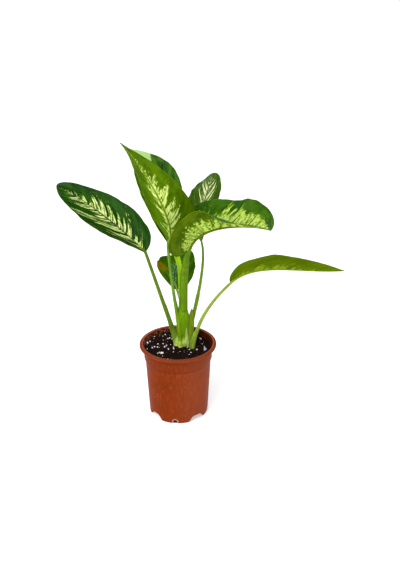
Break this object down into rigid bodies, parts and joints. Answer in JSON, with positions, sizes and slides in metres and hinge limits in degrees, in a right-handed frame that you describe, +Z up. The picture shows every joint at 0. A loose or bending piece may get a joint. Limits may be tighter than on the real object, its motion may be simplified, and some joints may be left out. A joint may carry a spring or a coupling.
{
  "type": "potted dieffenbachia",
  "caption": "Young variegated dieffenbachia with broad arching leaves on long stalks, growing in a tapered plastic nursery pot with a rolled lip and arched feet.",
  "frame": {"origin": "middle of the pot's flat base, on the surface it stands on", "axes": "+Z up along the pot's axis; -Y towards the viewer of the picture; +X to the viewer's right"},
  "size_m": [0.4216, 0.3014, 0.4516],
  "materials": {
    "pot": "terracotta coloured moulded plastic, faintly scuffed, soft sheen",
    "soil": "dark moist potting compost with white perlite and brown fibre, matte",
    "stem": "pale green plant sheath, streaked, waxy",
    "leaf": "waxy leaf, dark green with feathered cream and lime streaks, olive underneath"
  },
  "bodies": {
    "root": {"pot": "pot", "soil": "soil", "stem": "stem", "leaf_left": "leaf", "leaf_tall": "leaf", "leaf_back": "leaf", "leaf_arching": "leaf", "leaf_small": "leaf", "leaf_right": "leaf", "leaf_low": "leaf"}
  },
  "joints": []
}
